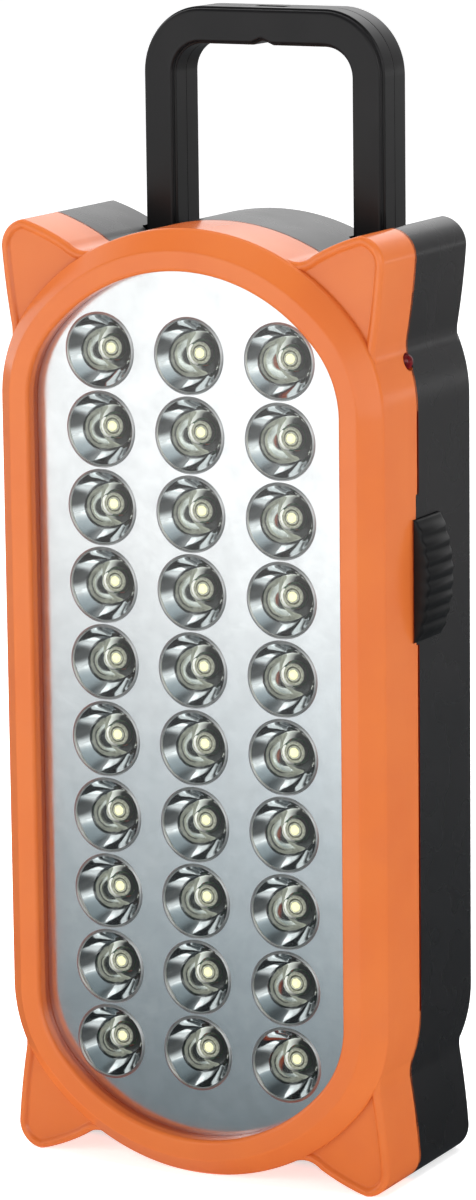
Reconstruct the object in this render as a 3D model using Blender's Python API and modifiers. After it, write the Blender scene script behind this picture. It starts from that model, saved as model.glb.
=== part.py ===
"""Rechargeable hand lantern with thirty LEDs and a pull-out carrying handle.

All sizes below are in millimetres and become metres when a mesh is made. X runs across the
lantern, Y from its lit front (-Y) to its back (+Y), and Z up. The origin is on the ground, under
the middle of the lamp body. Heights marked "from centre" count from the middle of the body.
"""

import math

import bmesh
import bpy
from mathutils import Matrix, Vector

MM = 0.001
GAP = 0.3  # play between two pieces that lie against each other

# Body outline, seen from the front: straight sides, corner arcs and flat end arcs.
CENTRE_Z = 97.5  # height of the body's middle above the ground
CORNER_X, CORNER_Z, CORNER_RADIUS = 13.8, 61.6, 29.6
END_Z = 50.0
END_RADIUS = CORNER_RADIUS + math.hypot(CORNER_X, CORNER_Z - END_Z)
TANGENT_ANGLE = math.atan2(CORNER_Z - END_Z, CORNER_X)
HALF_WIDTH = CORNER_X + CORNER_RADIUS

# Depths of the body.
FRONT_Y = -24.6
EDGE_Y = -20.7  # where the bezel's chamfer meets the side wall, and the ears' front faces
SEAM_Y = -4.9
REAR_EDGE_Y = 18.8
BACK_Y = 25.1
WALL = 2.2
BACK_WALL = 1.9
BEZEL_LAND, BEZEL_WINDOW = 4.1, 8.3  # inward offsets where the flat land starts and ends
REFLECTOR_SEAT = 6.3
LENS_THICKNESS = 1.2
BACK_PANEL = BACK_Y - REAR_EDGE_Y  # inward offset of the raised back panel

# Corner ears, which double as feet and hold the screws.
EAR_SIDE = (42.3, 83.3)
EAR_SHOULDER = (43.2, 91.4)
EAR_CORNER = (41.9, 95.7)
EAR_TIP = (38.0, 97.7)
EAR_BROW = (31.2, 95.2)
EAR_FOOT_ANGLES = (math.radians(22.5), math.radians(60.0))
SCREW_X, SCREW_Z = 36.3, 89.6

# Lamps and reflector.
COLUMN_PITCH, ROW_PITCH = 20.35, 16.0
COLUMNS, ROWS = 3, 10
CUP_RADIUS, CUP_HOLE, CUP_DEPTH = 7.25, 2.8, 6.0
CUP_WALL = 0.7
CUP_SIDES = 12
REFLECTOR_Y = -20.5
REFLECTOR_THICKNESS = 1.2
LED_RADIUS, LED_FLANGE, LED_HEIGHT = 2.5, 2.9, 6.0
LED_BOARD_Y, BOARD_THICKNESS = -12.3, 1.6

# Handle: a flat U that slides down into the rear shell.
HANDLE_OUTER, HANDLE_INNER = 27.5, 20.2
HANDLE_FRONT_Y, HANDLE_BACK_Y = 11.7, 22.8
HANDLE_TOP, HANDLE_UNDERSIDE, HANDLE_LEG_END = 138.9, 131.3, 67.0  # from centre
HANDLE_OUTER_RADIUS, HANDLE_INNER_RADIUS = 13.5, 6.1
RETAINER_BOTTOM, RETAINER_TOP = 70.3, 80.0

# Slide switch on the right-hand side wall. The knob lies outside the wall and hides the slot.
KNOB_Y, KNOB_Z = (-8.3, 3.6), (15.0, 39.9)
KNOB_END_RISE, KNOB_MIDDLE_RISE = 1.2, 3.8
KNOB_RIBS, RIB_HEIGHT = 8, 0.45
STEM_Y, STEM_Z = (-3.0, 2.2), (21.8, 30.6)
TAB_FRONT_Y, TAB_Z = -6.5, (14.4, 44.7)  # tab of the rear shell that the knob slides on
SWITCH_TRAVEL = 4.5
SWITCH_PLATE_X = (39.2, 40.9)

# Charging inlet in the left-hand side wall, and the charge indicator.
INLET_Y, INLET_Z = 6.2, 30.0
INLET_HALF_Y, INLET_HALF_Z = 6.0, 9.5
INLET_FACE_X, INLET_BACK_X = -43.1, -32.0
RECESS_HALF_Y, RECESS_HALF_Z, RECESS_DEPTH = 4.35, 8.25, 9.0
PIN_OFFSET, PIN_RADIUS = 4.3, 1.2
INDICATOR_Y, INDICATOR_Z, INDICATOR_RADIUS = -6.4, 71.4, 1.7
INDICATOR_TIP_X = 42.7

# Parts inside.
BATTERY_HALF_X, BATTERY_Y, BATTERY_Z = 17.5, (-2.0, 20.0), (-66.0, -6.0)
CHARGER_HALF_X, CHARGER_Y, CHARGER_Z = 16.5, (14.2, 15.8), (8.0, 58.0)
LEAD_RADIUS = 0.8

# name: (colour, roughness, metallic)
FINISHES = {
    "orange_shell": ((0.80, 0.18, 0.05), 0.25, 0.0),
    "black_shell": ((0.025, 0.025, 0.026), 0.35, 0.0),
    "clear_lens": ((0.95, 0.97, 0.98), 0.03, 0.0),
    "reflector": ((0.85, 0.87, 0.88), 0.08, 1.0),
    "led": ((0.95, 0.93, 0.72), 0.08, 0.0),
    "indicator": ((0.30, 0.01, 0.01), 0.10, 0.0),
    "board": ((0.03, 0.18, 0.07), 0.45, 0.0),
    "battery": ((0.12, 0.12, 0.13), 0.50, 0.0),
    "capacitor": ((0.55, 0.05, 0.03), 0.30, 0.0),
    "steel": ((0.62, 0.62, 0.60), 0.30, 1.0),
    "brass": ((0.80, 0.62, 0.28), 0.25, 1.0),
    "red_lead": ((0.55, 0.03, 0.02), 0.45, 0.0),
    "black_lead": ((0.03, 0.03, 0.03), 0.45, 0.0),
}


def clear_scene():
    for obj in list(bpy.data.objects):
        bpy.data.objects.remove(obj)


def new_collection(name):
    collection = bpy.data.collections.new(name)
    bpy.context.scene.collection.children.link(collection)
    return collection


def new_material(name, finish):
    colour, roughness, metallic = FINISHES[finish]
    material = bpy.data.materials.new(name)
    material.use_nodes = True
    shader = material.node_tree.nodes["Principled BSDF"]
    shader.inputs["Base Color"].default_value = (*colour, 1.0)
    shader.inputs["Roughness"].default_value = roughness
    shader.inputs["Metallic"].default_value = metallic
    material.diffuse_color = (*colour, 1.0)
    return material


clear_scene()
PARTS = new_collection("hand_lantern")
CUTTERS = new_collection("cutters")


def new_object(name, mesh, finish=None):
    """Links a mesh as a part when it has a finish, and as a hidden cutter when it has none."""
    obj = bpy.data.objects.new(name, mesh)
    if finish is None:
        CUTTERS.objects.link(obj)
        obj.hide_render = True
        obj.display_type = "WIRE"
        return obj
    PARTS.objects.link(obj)
    obj.data.materials.append(new_material(name, finish))
    return obj


def finish_mesh(bm, name):
    bmesh.ops.recalc_face_normals(bm, faces=bm.faces)
    mesh = bpy.data.meshes.new(name)
    bm.to_mesh(mesh)
    bm.free()
    return mesh


def boolean(target, other, operation):
    modifier = target.modifiers.new(f"{operation.lower()} {other.name}", "BOOLEAN")
    modifier.object = other
    modifier.operation = operation
    modifier.solver = "EXACT"


def cut(target, *cutters):
    for cutter in cutters:
        boolean(target, cutter, "DIFFERENCE")


def join(target, *others):
    for other in others:
        boolean(target, other, "UNION")


def shade_round(obj, angle=35):
    obj.data.shade_smooth()
    obj.data.set_sharp_from_angle(angle=math.radians(angle))


# Outlines are lists of (x, z) points, with z counted from the body's centre.


def arc(centre, radius, start, end, steps):
    return [
        (
            centre[0] + radius * math.cos(start + (end - start) * i / steps),
            centre[1] + radius * math.sin(start + (end - start) * i / steps),
        )
        for i in range(steps + 1)
    ]


def arc_through(first, middle, last, steps):
    """The circular arc from first to last that passes through middle."""
    (ax, az), (bx, bz), (cx, cz) = first, middle, last
    double_area = 2 * (ax * (bz - cz) + bx * (cz - az) + cx * (az - bz))
    a, b, c = ax * ax + az * az, bx * bx + bz * bz, cx * cx + cz * cz
    x = (a * (bz - cz) + b * (cz - az) + c * (az - bz)) / double_area
    z = (a * (cx - bx) + b * (ax - cx) + c * (bx - ax)) / double_area
    start = math.atan2(az - z, ax - x)
    turn = math.remainder(math.atan2(cz - z, cx - x) - start, math.tau)
    return arc((x, z), math.hypot(ax - x, az - z), start, start + turn, steps)


def four_fold(quarter):
    """A closed outline from its upper right quarter, whose last point is on the Z axis."""
    upper = quarter + [(-x, z) for x, z in reversed(quarter[:-1])]
    return upper + [(x, -z) for x, z in reversed(upper)]


def body_outline(offset):
    """The lamp body without its ears, moved inwards by offset."""
    corner = arc((CORNER_X, CORNER_Z), CORNER_RADIUS - offset, 0, TANGENT_ANGLE, 9)
    end = arc((0, END_Z), END_RADIUS - offset, TANGENT_ANGLE, math.pi / 2, 7)
    return four_fold(corner + end[1:])


def ear_outline():
    """The upper right ear, its inner side buried in the body's wall."""
    low, high = EAR_FOOT_ANGLES
    root = CORNER_RADIUS - 0.6
    foot = (CORNER_X + root * math.cos(low), CORNER_Z + root * math.sin(low))
    crown_root = END_RADIUS - 0.6
    crown = (crown_root * math.cos(high), END_Z + crown_root * math.sin(high))
    outline = arc_through(foot, EAR_SIDE, EAR_SHOULDER, 5)
    outline += arc_through(EAR_SHOULDER, EAR_CORNER, EAR_TIP, 5)[1:]
    outline += arc_through(EAR_TIP, EAR_BROW, crown, 5)[1:]
    outline += arc((0, END_Z), END_RADIUS - 1.2, high, TANGENT_ANGLE, 3)
    outline += arc((CORNER_X, CORNER_Z), CORNER_RADIUS - 1.2, TANGENT_ANGLE, low, 4)[1:]
    return outline


def rounded_rectangle(centre, half, radius, steps=4):
    points = []
    for turn, (sx, sz) in enumerate(((1, 1), (-1, 1), (-1, -1), (1, -1))):
        corner = (centre[0] + sx * (half[0] - radius), centre[1] + sz * (half[1] - radius))
        points += arc(corner, radius, turn * math.pi / 2, (turn + 1) * math.pi / 2, steps)
    return points


def mirrored(outline, flip_x, flip_z):
    return [(-x if flip_x else x, -z if flip_z else z) for x, z in outline]


def section(outline, y):
    """An outline placed at depth y, in metres."""
    return [Vector((x, y, z + CENTRE_Z)) * MM for x, z in outline]


def loft(name, sections, finish=None, ring=False):
    """Bridges sections of equal length. A ring joins the last one to the first, others get caps."""
    bm = bmesh.new()
    rows = [[bm.verts.new(point) for point in points] for points in sections]
    count = len(rows[0])
    pairs = list(zip(rows, rows[1:] + rows[:1])) if ring else list(zip(rows, rows[1:]))
    for row, following in pairs:
        for i in range(count):
            j = (i + 1) % count
            bm.faces.new((row[i], row[j], following[j], following[i]))
    if not ring:
        bm.faces.new(rows[0])
        bm.faces.new(rows[-1])
    return new_object(name, finish_mesh(bm, name), finish)


def prism(name, outline, y_range, finish=None):
    """An outline in the XZ plane, extruded from the front depth to the back depth."""
    bm = bmesh.new()
    face = bm.faces.new([bm.verts.new(point) for point in section(outline, y_range[0])])
    grown = bmesh.ops.extrude_face_region(bm, geom=[face])["geom"]
    moved = [item for item in grown if isinstance(item, bmesh.types.BMVert)]
    bmesh.ops.translate(bm, verts=moved, vec=(0, (y_range[1] - y_range[0]) * MM, 0))
    return new_object(name, finish_mesh(bm, name), finish)


def box(name, x_range, y_range, z_range, finish=None):
    """A block between two corners, z counted from the body's centre."""
    spans = (x_range, y_range, (z_range[0] + CENTRE_Z, z_range[1] + CENTRE_Z))
    middle = Vector([(low + high) / 2 for low, high in spans]) * MM
    size = Vector([high - low for low, high in spans]) * MM
    bm = bmesh.new()
    place = Matrix.Translation(middle) @ Matrix.Diagonal((*size, 1))
    bmesh.ops.create_cube(bm, size=1, matrix=place)
    return new_object(name, finish_mesh(bm, name), finish)


def cylinder(name, start, end, radius, finish=None, sides=16, end_radius=None):
    """A rod between two points, z counted from the body's centre."""
    lift = Vector((0, 0, CENTRE_Z))
    first, last = (Vector(start) + lift) * MM, (Vector(end) + lift) * MM
    along = last - first
    turn = Vector((0, 0, 1)).rotation_difference(along).to_matrix().to_4x4()
    place = Matrix.Translation((first + last) / 2) @ turn
    bm = bmesh.new()
    bmesh.ops.create_cone(
        bm,
        cap_ends=True,
        segments=sides,
        radius1=radius * MM,
        radius2=(radius if end_radius is None else end_radius) * MM,
        depth=along.length,
        matrix=place,
    )
    obj = new_object(name, finish_mesh(bm, name), finish)
    shade_round(obj)
    return obj


def turned(name, profile, finish, sides):
    """A profile of (radius, height) points, outer side top to bottom, turned about Z."""
    mesh = bpy.data.meshes.new(name)
    points = [(radius * MM, 0, height * MM) for radius, height in profile]
    mesh.from_pydata(points, [(i, i + 1) for i in range(len(points) - 1)], [])
    obj = new_object(name, mesh, finish)
    screw = obj.modifiers.new("turn", "SCREW")
    screw.steps = sides
    screw.render_steps = sides
    screw.use_merge_vertices = True
    screw.merge_threshold = 0.00001
    return obj


def lead(name, route, finish):
    """A wire along a smooth curve through a few points, z counted from the body's centre."""
    steps = 4
    points = [Vector(point) for point in route]
    padded = [2 * points[0] - points[1], *points, 2 * points[-1] - points[-2]]
    path = []
    for a, b, c, d in zip(padded, padded[1:], padded[2:], padded[3:]):
        for i in range(steps):
            t = i / steps
            path.append(
                b + (c - a) * t / 2 + (2 * a - 5 * b + 4 * c - d) * t * t / 2
                + (3 * b - a - 3 * c + d) * t * t * t / 2
            )
    path.append(points[-1])
    curve = bpy.data.curves.new(name, "CURVE")
    curve.dimensions = "3D"
    curve.bevel_depth = LEAD_RADIUS * MM
    curve.bevel_resolution = 2
    curve.use_fill_caps = True
    spline = curve.splines.new("POLY")
    spline.points.add(len(path) - 1)
    for item, (x, y, z) in zip(spline.points, path):
        item.co = (x * MM, y * MM, (z + CENTRE_Z) * MM, 1)
    return new_object(name, curve, finish)


def ears(name, y_range):
    """Four ears as joining shapes."""
    quarter = ear_outline()
    return [
        prism(f"{name}_ear_{i}", mirrored(quarter, i in (1, 2), i in (2, 3)), y_range)
        for i in range(4)
    ]


def corner_signs():
    return (("upper_right", 1, 1), ("upper_left", -1, 1), ("lower_left", -1, -1), ("lower_right", 1, -1))


def ground_cutter():
    return box("ground_cutter", (-60, 60), (-40, 40), (-CENTRE_Z - 10, -CENTRE_Z))


def switch_slot():
    y_range = (STEM_Y[0] - GAP, STEM_Y[1] + GAP)
    z_range = (STEM_Z[0] - GAP, STEM_Z[1] + SWITCH_TRAVEL + GAP)
    return box("switch_slot", (37, 50), y_range, z_range)


def switch_tab(name, play):
    """The tab that fills the notch in the front shell's seam, or with play that notch."""
    x_range = (HALF_WIDTH - WALL + 0.2, HALF_WIDTH - 0.05) if play == 0 else (37, 50)
    y_range = (TAB_FRONT_Y - play, SEAM_Y + 1)
    return box(name, x_range, y_range, (TAB_Z[0] - play, TAB_Z[1] + play))


def indicator_hole():
    z = INDICATOR_Z
    ends = (36, INDICATOR_Y, z), (50, INDICATOR_Y, z)
    return cylinder("indicator_hole", *ends, INDICATOR_RADIUS + GAP)


def make_front_housing():
    seam = SEAM_Y - GAP / 2
    inner_shoulder = -16.5
    profile = (
        (0, seam),
        (0, EDGE_Y),
        (BEZEL_LAND, FRONT_Y),
        (BEZEL_WINDOW - 0.7, FRONT_Y),
        (BEZEL_WINDOW, FRONT_Y + 0.7),
        (BEZEL_WINDOW, REFLECTOR_Y - GAP),
        (REFLECTOR_SEAT, REFLECTOR_Y - GAP),
        (REFLECTOR_SEAT, inner_shoulder - 2),
        (WALL, inner_shoulder),
        (WALL, seam),
    )
    sections = [section(body_outline(offset), y) for offset, y in profile]
    housing = loft("front_housing", sections, "orange_shell", ring=True)
    join(housing, *ears("front", (EDGE_Y, seam)))
    cut(housing, GROUND, INDICATOR_HOLE, switch_tab("tab_notch", GAP / 2))
    for place, sx, sz in corner_signs():
        x, z = sx * SCREW_X, sz * SCREW_Z
        cut(housing, cylinder(f"front_pilot_{place}", (x, -16, z), (x, 0, z), 1.5, sides=12))
    return housing


def make_rear_housing():
    seam = SEAM_Y + GAP / 2
    inner_back = BACK_Y - BACK_WALL
    profile = (
        (BACK_PANEL + 1.2, inner_back),
        (WALL, inner_back - (BACK_PANEL + 1.2 - WALL)),
        (WALL, seam),
        (0, seam),
        (0, REAR_EDGE_Y),
        (BACK_PANEL, BACK_Y),
    )
    sections = [section(body_outline(offset), y) for offset, y in profile]
    housing = loft("rear_housing", sections, "black_shell")
    join(housing, *ears("rear", (seam, REAR_EDGE_Y)), switch_tab("switch_tab", 0))
    buried = inner_back + 0.8
    rib_front = HANDLE_FRONT_Y
    for side in (-1, 1):
        for inner, outer in ((18.1, HANDLE_INNER - GAP), (HANDLE_OUTER + GAP, 29.6)):
            spans = sorted((side * inner, side * outer))
            join(housing, box(f"guide_{side}_{inner}", spans, (rib_front, buried), (56, 84)))
    join(housing, cylinder("retainer_boss", (0, rib_front, 75), (0, buried, 75), 3.2))
    for side in (-1, 1):
        for z in (CHARGER_Z[0] + 4, CHARGER_Z[1] - 4):
            x = side * (CHARGER_HALF_X - 3)
            start = (x, CHARGER_Y[1] + GAP, z)
            join(housing, cylinder(f"board_post_{side}_{z}", start, (x, buried, z), 2, sides=12))
    for side in (-1, 1):
        spans = sorted((side * (HANDLE_INNER - GAP), side * (HANDLE_OUTER + GAP)))
        leg_y = (HANDLE_FRONT_Y - GAP, HANDLE_BACK_Y + GAP)
        cut(housing, box(f"leg_channel_{side}", spans, leg_y, (50, 110)))
    cut(housing, GROUND, INDICATOR_HOLE, switch_slot())
    cut(housing, cylinder("retainer_pilot", (0, 0, 75), (0, 20, 75), 1.5, sides=12))
    inlet_y = (INLET_Y - INLET_HALF_Y - GAP, INLET_Y + INLET_HALF_Y + GAP)
    inlet_z = (INLET_Z - INLET_HALF_Z - GAP, INLET_Z + INLET_HALF_Z + GAP)
    cut(housing, box("inlet_cutout", (-50, -38), inlet_y, inlet_z))
    for place, sx, sz in corner_signs():
        x, z = sx * SCREW_X, sz * SCREW_Z
        cut(housing, cylinder(f"rear_pilot_{place}", (x, -10, z), (x, 20, z), 1.7, sides=12))
        cut(housing, cylinder(f"rear_bore_{place}", (x, 12, z), (x, 20, z), 3.2))
    return housing


def make_lens():
    """The clear window, which fills the bezel's opening in front of the reflector."""
    back = REFLECTOR_Y - GAP
    outline = body_outline(BEZEL_WINDOW + GAP)
    return prism("window_lens", outline, (back - LENS_THICKNESS, back), "clear_lens")


def lamp_places():
    """(row, column, x, z) of each lamp, row 1 at the top and column 1 on the left."""
    for row in range(ROWS):
        for column in range(COLUMNS):
            x = (column - (COLUMNS - 1) / 2) * COLUMN_PITCH
            z = ((ROWS - 1) / 2 - row) * ROW_PITCH
            yield row + 1, column + 1, x, z


def cup_cones(name, front, back, front_radius, back_radius):
    """One cone at every lamp, all in one helper mesh."""
    bm = bmesh.new()
    for _row, _column, x, z in lamp_places():
        middle = Vector((x, (front + back) / 2, z + CENTRE_Z)) * MM
        bmesh.ops.create_cone(
            bm,
            cap_ends=True,
            segments=CUP_SIDES,
            radius1=back_radius * MM,
            radius2=front_radius * MM,
            depth=(back - front) * MM,
            matrix=Matrix.Translation(middle) @ Matrix.Rotation(math.pi / 2, 4, "X"),
        )
    return new_object(name, finish_mesh(bm, name))


def make_reflector():
    """A plate with a bright cup round each lamp: the cups' outsides joined on, their insides cut."""
    plate_back = REFLECTOR_Y + REFLECTOR_THICKNESS
    outline = body_outline(REFLECTOR_SEAT + GAP)
    panel = prism("reflector_panel", outline, (REFLECTOR_Y, plate_back), "reflector")
    cup_back = REFLECTOR_Y + CUP_DEPTH
    outer_front = plate_back - 0.4
    slope = (CUP_RADIUS - CUP_HOLE) / CUP_DEPTH
    outer_radius = CUP_RADIUS + CUP_WALL - slope * (outer_front - REFLECTOR_Y)
    join(panel, cup_cones("cup_outsides", outer_front, cup_back, outer_radius, CUP_HOLE + CUP_WALL))
    spare = 0.5
    cut(panel, cup_cones("cup_hollows", REFLECTOR_Y - spare, cup_back + spare,
                         CUP_RADIUS + slope * spare, CUP_HOLE - slope * spare))
    for place, sx, sz in corner_signs():
        x, z = sx * 1.5 * COLUMN_PITCH, sz * 3 * ROW_PITCH
        start, end = (x, plate_back - 0.4, z), (x, LED_BOARD_Y - GAP, z)
        join(panel, cylinder(f"reflector_post_{place}", start, end, 1.6, sides=10))
    return panel


def make_leds():
    """Thirty lamps that share one turned shape: flange, straight body and domed tip."""
    dome = [
        (LED_RADIUS * math.cos(angle), LED_HEIGHT - LED_RADIUS * (1 - math.sin(angle)))
        for angle in (math.radians(a) for a in (90, 60, 30, 0))
    ]
    dome[0] = (0, LED_HEIGHT)
    profile = dome + [(LED_RADIUS, 1.0), (LED_FLANGE, 1.0), (LED_FLANGE, 0), (0, 0)]
    first = None
    for row, column, x, z in lamp_places():
        name = f"led_{row:02d}_{column}"
        if first is None:
            first = obj = turned(name, profile, "led", 10)
        else:
            obj = first.copy()
            obj.name = name
            PARTS.objects.link(obj)
        obj.location = Vector((x, LED_BOARD_Y - GAP, z + CENTRE_Z)) * MM
        obj.rotation_euler = (math.pi / 2, 0, 0)


def make_led_board():
    span = (LED_BOARD_Y, LED_BOARD_Y + BOARD_THICKNESS)
    return prism("led_board", body_outline(9.0), span, "board")


def handle_outline():
    """The U of the handle: two legs, a top bar and a small notch in the bar's underside."""
    turn = math.pi / 2
    outer = (HANDLE_OUTER - HANDLE_OUTER_RADIUS, HANDLE_TOP - HANDLE_OUTER_RADIUS)
    inner = (HANDLE_INNER - HANDLE_INNER_RADIUS, HANDLE_UNDERSIDE - HANDLE_INNER_RADIUS)
    notch_half, notch_depth = 2.2, 0.9
    right = [(HANDLE_INNER, HANDLE_LEG_END), (HANDLE_OUTER, HANDLE_LEG_END)]
    right += arc(outer, HANDLE_OUTER_RADIUS, 0, turn, 10)
    left = [(-x, z) for x, z in reversed(right)]
    underside = [(-x, z) for x, z in arc(inner, HANDLE_INNER_RADIUS, 0, turn, 6)]
    underside.append((-notch_half, HANDLE_UNDERSIDE))
    underside.append((0, HANDLE_UNDERSIDE + notch_depth))
    underside += [(-x, z) for x, z in reversed(underside[:-1])]
    return right + left + underside


def make_handle():
    """Two moulded halves that meet along the middle of the handle's depth."""
    middle = (HANDLE_FRONT_Y + HANDLE_BACK_Y) / 2
    spans = {
        "front": (HANDLE_FRONT_Y, middle - GAP / 2),
        "rear": (middle + GAP / 2, HANDLE_BACK_Y),
    }
    pocket = box("top_pocket", (-3.5, 3.5), (middle - 1.6, middle + 1.6), (138.0, 142))
    for name, span in spans.items():
        half = prism(f"handle_{name}_half", handle_outline(), span, "black_shell")
        bevel = half.modifiers.new("rounded edges", "BEVEL")
        bevel.width = 0.7 * MM
        bevel.segments = 2
        bevel.limit_method = "ANGLE"
        bevel.angle_limit = math.radians(60)
        cut(half, pocket)
        if name == "front":
            lug_x = (HANDLE_INNER + 1.2, HANDLE_OUTER - 1.2)
            lug_y = (HANDLE_FRONT_Y - 1.4, HANDLE_FRONT_Y + 1)
            lug_z = (HANDLE_LEG_END + 0.9, RETAINER_BOTTOM - GAP)
            join(half, box("lug_right", lug_x, lug_y, lug_z))
            join(half, box("lug_left", (-lug_x[1], -lug_x[0]), lug_y, lug_z))


def make_retainer():
    """The strap across the legs that their lugs meet when the handle is pulled right out."""
    front, back = HANDLE_FRONT_Y - GAP - 1.6, HANDLE_FRONT_Y - GAP
    strap = box(
        "handle_retainer", (-31, 31), (front, back), (RETAINER_BOTTOM, RETAINER_TOP), "black_shell"
    )
    cut(strap, cylinder("retainer_hole", (0, 0, 75), (0, 20, 75), 1.6, sides=12))
    make_screw("retainer_screw", (0, front - GAP, 75), -1, 7)


def make_screw(name, seat, direction, length):
    """A pan-head screw. Its head's underside is at seat, and its head points along Y by direction."""
    x, y, z = seat
    head = y + direction * 2.0
    screw = cylinder(name, (x, y - direction * length, z), (x, y + direction * 0.5, z), 1.2,
                     "steel", sides=12)
    join(screw, cylinder(f"{name}_head", (x, y, z), (x, head, z), 2.8, sides=16, end_radius=2.2))
    driver_y = (head - direction * 1.0, head + direction * 1.0)
    spans = (min(driver_y), max(driver_y))
    cut(screw, box(f"{name}_slot_a", (x - 1.6, x + 1.6), spans, (z - 0.35, z + 0.35)))
    cut(screw, box(f"{name}_slot_b", (x - 0.35, x + 0.35), spans, (z - 1.6, z + 1.6)))
    return screw


def make_housing_screws():
    for place, sx, sz in corner_signs():
        seat = (sx * SCREW_X, 12 + GAP, sz * SCREW_Z)
        make_screw(f"housing_screw_{place}", seat, 1, 24)


def knob_outline():
    """Side view of the knob as (rise, z) points: a crown with ridges across it."""
    low, high = KNOB_Z
    middle, half = (low + high) / 2, (high - low) / 2
    steps = KNOB_RIBS * 8
    ridge_margin = 0.93
    points = []
    for i in range(steps + 1):
        t = -1 + 2 * i / steps
        rise = KNOB_END_RISE + (KNOB_MIDDLE_RISE - KNOB_END_RISE) * (1 - t * t)
        ridge = 0.0
        if abs(t) < ridge_margin:
            ridge = RIB_HEIGHT * math.sin(math.pi * KNOB_RIBS * (t / ridge_margin + 1) / 2) ** 2
        points.append((HALF_WIDTH + rise - RIB_HEIGHT + ridge, middle + half * t))
    return [(HALF_WIDTH + GAP, low), *points, (HALF_WIDTH + GAP, high)]


def make_switch():
    """The knob, with a stem through the slot to the plate that holds it from inside."""
    knob = prism("switch_knob", knob_outline(), KNOB_Y, "black_shell")
    stem_x = (SWITCH_PLATE_X[0] + 0.5, HALF_WIDTH + GAP + 0.2)
    plate_y = (STEM_Y[0] - 1.4, STEM_Y[1] + 2.6)
    plate_z = (STEM_Z[0] - SWITCH_TRAVEL - 2.5, STEM_Z[1] + SWITCH_TRAVEL + 2.5)
    join(knob, box("knob_stem", stem_x, STEM_Y, STEM_Z))
    join(knob, box("knob_plate", SWITCH_PLATE_X, plate_y, plate_z))
    body = box("switch_body", (31, 38), (-4.5, 3.5), (16, 41), "board")
    cut(body, box("lever_slot", (35, 40), (-2, 1), (19, 38)))
    box("switch_lever", (35.3, SWITCH_PLATE_X[0] - GAP), (-1.7, 0.7), (23, 28), "steel")


def make_indicator():
    body_length = 1.6
    dome = [
        (INDICATOR_RADIUS * math.cos(angle), body_length + INDICATOR_RADIUS * math.sin(angle))
        for angle in (math.radians(a) for a in (90, 60, 30, 0))
    ]
    dome[0] = (0, dome[0][1])
    flange_top, flange_bottom, flange_radius = -2.0, -3.0, 2.2
    profile = dome + [
        (INDICATOR_RADIUS, flange_top), (flange_radius, flange_top),
        (flange_radius, flange_bottom), (0, flange_bottom),
    ]
    led = turned("indicator_led", profile, "indicator", 14)
    base_x = INDICATOR_TIP_X - body_length - INDICATOR_RADIUS
    led.location = Vector((base_x, INDICATOR_Y, INDICATOR_Z + CENTRE_Z)) * MM
    led.rotation_euler = (0, math.pi / 2, 0)


def make_inlet():
    """A two-pin charging inlet: a deep oval recess round two round pins."""
    y_range = (INLET_Y - INLET_HALF_Y, INLET_Y + INLET_HALF_Y)
    z_range = (INLET_Z - INLET_HALF_Z, INLET_Z + INLET_HALF_Z)
    body = box("ac_inlet", (INLET_FACE_X, INLET_BACK_X), y_range, z_range, "black_shell")
    half = (RECESS_HALF_Y, RECESS_HALF_Z)
    recess = rounded_rectangle((INLET_Y, INLET_Z + CENTRE_Z), half, RECESS_HALF_Y - 0.01)
    floor_x = INLET_FACE_X + RECESS_DEPTH
    ends = (INLET_FACE_X - 2, floor_x)
    cut(body, loft("inlet_recess", [[Vector((x, y, z)) * MM for y, z in recess] for x in ends]))
    for name, side in (("upper", 1), ("lower", -1)):
        z = INLET_Z + side * PIN_OFFSET
        hole = cylinder(f"pin_hole_{name}", (-50, INLET_Y, z), (-20, INLET_Y, z), PIN_RADIUS + GAP)
        cut(body, hole)
        start, end = (INLET_FACE_X + 1.6, INLET_Y, z), (INLET_BACK_X + 2.3, INLET_Y, z)
        cylinder(f"inlet_pin_{name}", start, end, PIN_RADIUS, "brass")


def make_battery():
    half = BATTERY_HALF_X
    battery = box("battery", (-half, half), BATTERY_Y, BATTERY_Z, "battery")
    bevel = battery.modifiers.new("rounded edges", "BEVEL")
    bevel.width = 1.2 * MM
    bevel.segments = 2
    strap_z = (-44, -32)
    inside = half + GAP
    outside = inside + 1.5
    foot_y = (BATTERY_Y[1] + 0.6, BACK_Y - BACK_WALL - GAP)
    front_y = (BATTERY_Y[0] - GAP - 1.5, BATTERY_Y[0] - GAP)
    strap = box("battery_bracket", (-outside, outside), front_y, strap_z, "steel")
    for side in (-1, 1):
        wall_x = sorted((side * inside, side * outside))
        foot_x = sorted((side * inside, side * (outside + 7)))
        join(strap, box(f"bracket_wall_{side}", wall_x, (front_y[0], foot_y[1]), strap_z))
        join(strap, box(f"bracket_foot_{side}", foot_x, foot_y, strap_z))


def make_charger():
    half = CHARGER_HALF_X
    box("charger_board", (-half, half), CHARGER_Y, CHARGER_Z, "board")
    front = CHARGER_Y[0] - GAP
    capacitor = box("film_capacitor", (-12, -4.5), (front - 12, front), (38, 56), "capacitor")
    bevel = capacitor.modifiers.new("rounded edges", "BEVEL")
    bevel.width = 0.8 * MM
    bevel.segments = 2


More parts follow.
